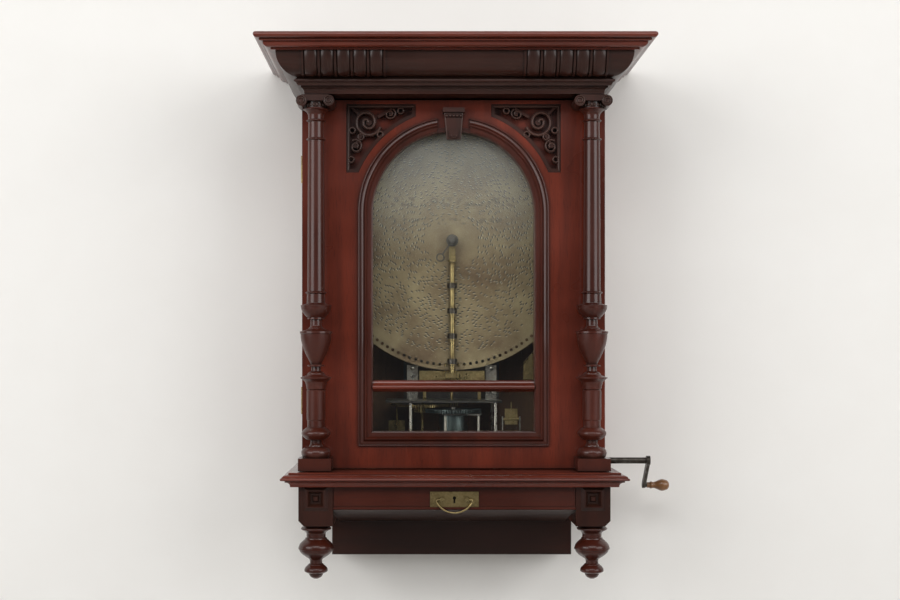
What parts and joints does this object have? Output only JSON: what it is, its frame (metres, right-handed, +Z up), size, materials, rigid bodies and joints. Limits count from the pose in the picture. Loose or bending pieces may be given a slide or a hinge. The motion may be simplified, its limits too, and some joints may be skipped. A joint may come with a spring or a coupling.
{
  "type": "disc music box",
  "caption": "Wall-hung disc music box: glazed mahogany case with turned columns and cornice, steel tune disc, combs, spring motor, side winding crank, coin slot and cash drawer.",
  "frame": {"origin": "on the rear face of the back board, on the case centre line, level with the ledge that the door stands over", "axes": "+Z up, +X to the right of someone facing the door, -Y towards that person; the wall is the plane Y = 0"},
  "size_m": [0.7825, 0.3595, 0.9825],
  "materials": {
    "varnished_mahogany": "deep red-brown mahogany under a glossy shellac varnish",
    "dark_mahogany": "darker carved mahogany, glossy, nearly black in the recesses",
    "inside_wood": "dull stained pine and oak inside the case",
    "aged_brass": "warm aged brass with a light tarnish",
    "bright_steel": "drawn steel, bright, a little yellowed",
    "black_iron": "black japanned cast iron",
    "forged_iron": "dark forged iron, worn on the edges",
    "disc_zinc": "zinc-coated steel with a grey-bronze patina",
    "blued_steel": "blue-grey tempered steel",
    "window_glass": "clear old window glass",
    "turned_handle_wood": "oiled fruitwood, darkened by hands"
  },
  "bodies": {
    "case": {"case_side_left": "varnished_mahogany", "case_side_right": "varnished_mahogany", "floor_board": "varnished_mahogany", "entablature": "varnished_mahogany", "crown_moulding": "varnished_mahogany", "base_moulding": "varnished_mahogany", "base_sides": "varnished_mahogany", "finials": "varnished_mahogany", "frieze_moulding": "dark_mahogany", "corner_blocks": "dark_mahogany", "soffit_panel": "dark_mahogany", "tail_box": "dark_mahogany", "back_board": "inside_wood", "top_boards": "inside_wood", "wall_hangers": "aged_brass", "hinge_case_leaves": "aged_brass", "hinge_pins": "aged_brass", "coin_slot_plate": "aged_brass", "coin_chute": "aged_brass", "crank_bush": "aged_brass", "star_gantry": "aged_brass", "ornament_plate": "aged_brass", "bedplate_posts": "bright_steel", "comb_left": "bright_steel", "comb_right": "bright_steel", "disc_spindle": "bright_steel", "disc_rests": "bright_steel", "motor_pillars": "bright_steel", "coin_bracket": "bright_steel", "bedplate": "black_iron", "comb_clamps": "black_iron", "motor_plates": "black_iron"},
    "door": {"door_frame": "varnished_mahogany", "window_moulding": "varnished_mahogany", "door_glass": "window_glass", "glass_beads": "inside_wood", "glazing_bar": "varnished_mahogany", "keystone": "varnished_mahogany", "spandrels": "dark_mahogany", "plinths": "varnished_mahogany", "columns": "varnished_mahogany", "capitals": "varnished_mahogany", "hinge_door_leaves": "aged_brass"},
    "drawer": {"drawer_box": "inside_wood", "drawer_front": "varnished_mahogany", "pull_plate": "aged_brass"},
    "bail": {"bail_handle": "aged_brass"},
    "disc": {"tune_disc": "disc_zinc"},
    "sprocket": {"drive_sprocket": "aged_brass"},
    "train": {"train_wheel": "aged_brass"},
    "barrel": {"spring_barrel": "blued_steel"},
    "governor": {"governor_fan": "aged_brass"},
    "winding": {"winding_arbor": "bright_steel"},
    "crank": {"winding_crank": "forged_iron"},
    "grip": {"crank_grip": "turned_handle_wood"},
    "bar": {"pressure_bar": "aged_brass"},
    "rollers": {"pressure_rollers": "bright_steel"},
    "latch": {"bar_latch": "black_iron"},
    "stars": {"star_wheels": "bright_steel"},
    "coin_trip": {"coin_lever": "aged_brass"}
  },
  "joints": [
    {"name": "door_hinge", "type": "hinge", "parent": "case", "child": "door", "pos_m": [-0.2815, -0.195, 0.3], "axis": [0, 0, -1], "range_deg": [0, 110]},
    {"name": "drawer_slide", "type": "slide", "parent": "case", "child": "drawer", "axis": [0, -1, 0], "range_m": [0, 0.15]},
    {"name": "bail_swing", "type": "hinge", "parent": "drawer", "child": "bail", "pos_m": [0, -0.29, -0.0495], "axis": [1, 0, 0], "range_deg": [-95, 0]},
    {"name": "disc_spin", "type": "hinge", "parent": "case", "child": "disc", "pos_m": [0, -0.113, 0.432], "axis": [0, 1, 0], "continuous": true},
    {"name": "sprocket_spin", "type": "hinge", "parent": "case", "child": "sprocket", "pos_m": [0, -0.08644, 0.193], "axis": [0, 0, 1], "continuous": true},
    {"name": "train_spin", "type": "hinge", "parent": "case", "child": "train", "pos_m": [-0.05698, -0.1025, 0.115], "axis": [0, 0, 1], "continuous": true},
    {"name": "barrel_spin", "type": "hinge", "parent": "case", "child": "barrel", "pos_m": [0.002, -0.133, 0.105], "axis": [0, 0, 1], "continuous": true},
    {"name": "governor_spin", "type": "hinge", "parent": "case", "child": "governor", "pos_m": [-0.10704, -0.0709, 0.115], "axis": [0, 0, 1], "continuous": true},
    {"name": "crank_turn", "type": "hinge", "parent": "case", "child": "crank", "pos_m": [0.3, -0.133, 0.01], "axis": [1, 0, 0], "continuous": true},
    {"name": "winding_arbor_turn", "type": "hinge", "parent": "case", "child": "winding", "pos_m": [0.002, -0.133, 0.022], "axis": [0, 0, 1], "continuous": true},
    {"name": "grip_spin", "type": "hinge", "parent": "crank", "child": "grip", "pos_m": [0.4, -0.07504, -0.04219], "axis": [1, 0, 0], "continuous": true},
    {"name": "pressure_bar_swing", "type": "hinge", "parent": "case", "child": "bar", "pos_m": [0, -0.124, 0.173], "axis": [1, 0, 0], "range_deg": [0, 8]},
    {"name": "roller_spin", "type": "hinge", "parent": "bar", "child": "rollers", "pos_m": [0, -0.124, 0.27], "axis": [0, 0, 1], "continuous": true},
    {"name": "latch_turn", "type": "hinge", "parent": "bar", "child": "latch", "pos_m": [0, -0.124, 0.432], "axis": [0, 1, 0], "range_deg": [0, 60]},
    {"name": "star_wheel_spin", "type": "hinge", "parent": "case", "child": "stars", "pos_m": [0, -0.099, 0.3], "axis": [0, 0, 1], "continuous": true},
    {"name": "coin_lever_tilt", "type": "hinge", "parent": "case", "child": "coin_trip", "pos_m": [0.1115, -0.153, 0.09], "axis": [1, 0, 0], "range_deg": [0, 18], "stiffness_Nm_per_rad": 0.05}
  ],
  "couplings": [
    {"joint": "sprocket_spin", "follows": "disc_spin", "ratio": -9},
    {"joint": "train_spin", "follows": "disc_spin", "ratio": 2.1},
    {"joint": "barrel_spin", "follows": "disc_spin", "ratio": -0.58154},
    {"joint": "governor_spin", "follows": "disc_spin", "ratio": -9},
    {"joint": "winding_arbor_turn", "follows": "crank_turn", "ratio": -0.41667}
  ]
}
